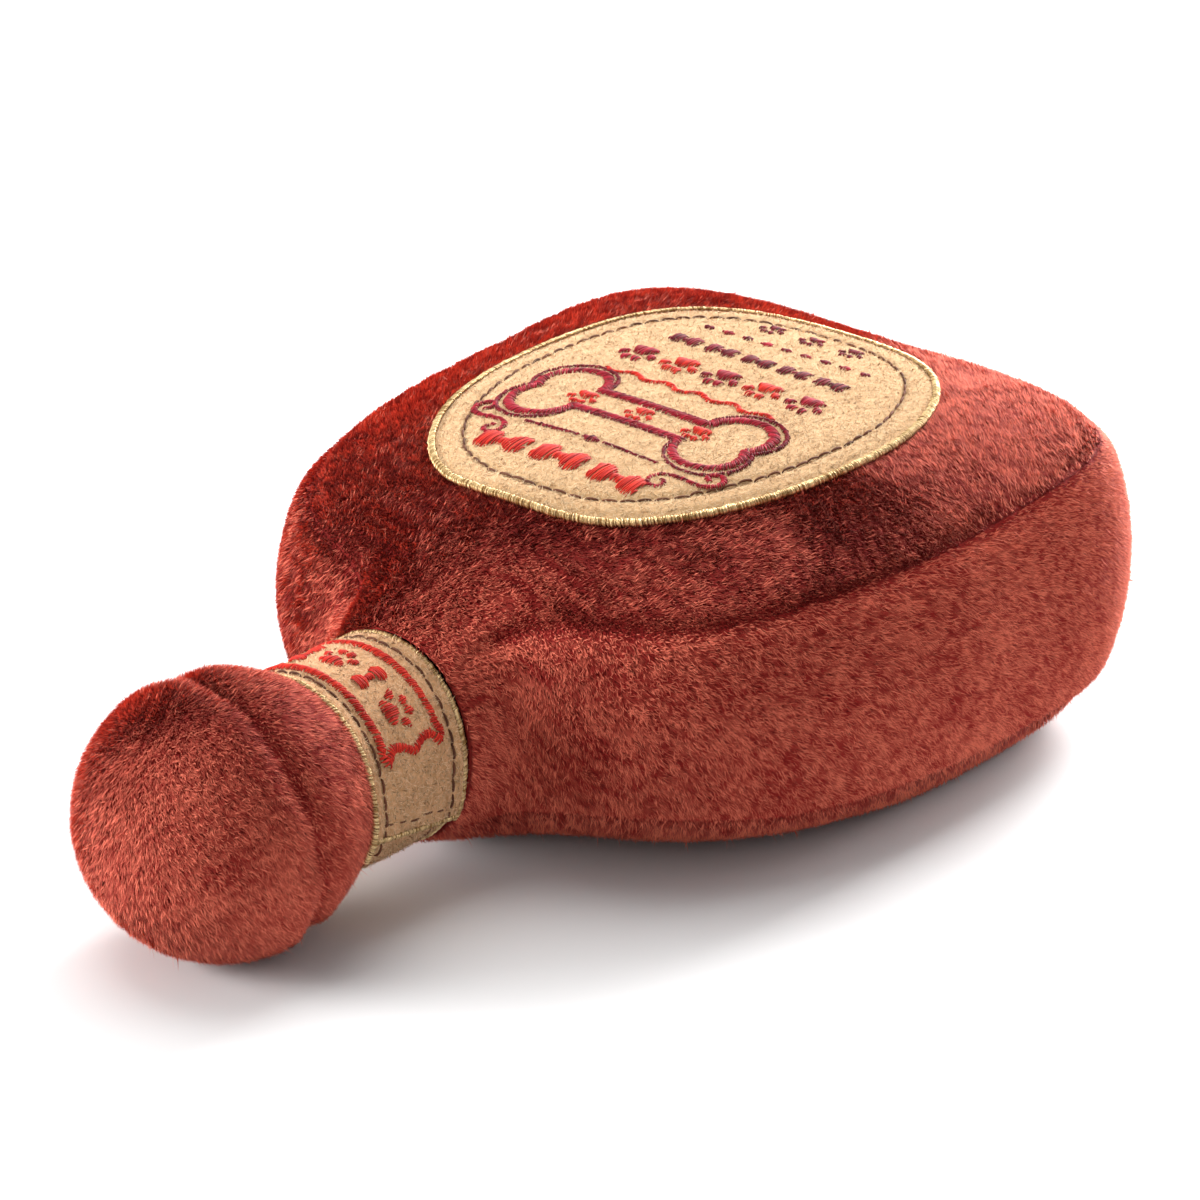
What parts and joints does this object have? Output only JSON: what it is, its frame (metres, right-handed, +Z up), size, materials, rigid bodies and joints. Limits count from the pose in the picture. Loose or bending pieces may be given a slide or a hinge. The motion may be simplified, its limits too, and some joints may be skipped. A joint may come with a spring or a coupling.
{
  "type": "squeaky dog toy",
  "caption": "Plush bottle-shaped dog toy lying on its back, with a ball stopper, felt label and neck band, and a bellows squeaker in its filling.",
  "frame": {"origin": "middle of the toy's box on the surface that it lies on", "axes": "+X from the ball stopper along the neck to the bottle's base, +Y across the bottle, +Z up through the label on the front"},
  "size_m": [0.2116, 0.1328, 0.0646],
  "materials": {
    "plush": "short brushed pile, rust red",
    "felt": "fuzzy beige felt",
    "gold_thread": "satin-sewn metallic thread",
    "lining": "plain woven cloth",
    "filling": "loose polyester fibre",
    "embroidery": "satin-sewn rayon thread",
    "soft_plastic": "thin moulded polyethylene",
    "whistle_plastic": "moulded polystyrene",
    "reed_foil": "thin stiff foil"
  },
  "bodies": {
    "toy": {"front_panel": "plush", "back_panel": "plush", "side_gusset": "plush", "body_filling_front": "filling", "body_filling_back": "filling", "neck_tube": "lining", "neck_filling": "filling", "neck_band": "felt", "neck_band_edge_ball": "gold_thread", "neck_band_edge_body": "gold_thread", "ball_front": "plush", "ball_back": "plush", "ball_filling": "filling", "label_patch": "felt", "label_edge": "gold_thread", "squeaker_base": "soft_plastic", "squeaker_bellows": "soft_plastic", "whistle_housing": "whistle_plastic", "reed_seat": "whistle_plastic", "reed_wedge": "whistle_plastic", "reed": "reed_foil"},
    "squeaker_cap": {"squeaker_top": "soft_plastic"}
  },
  "joints": [
    {"name": "squeaker_squeeze", "type": "slide", "parent": "toy", "child": "squeaker_cap", "axis": [0, 0, -1], "range_m": [0, 0.01], "stiffness_N_per_m": 450, "deforming": ["squeaker_bellows"]}
  ]
}
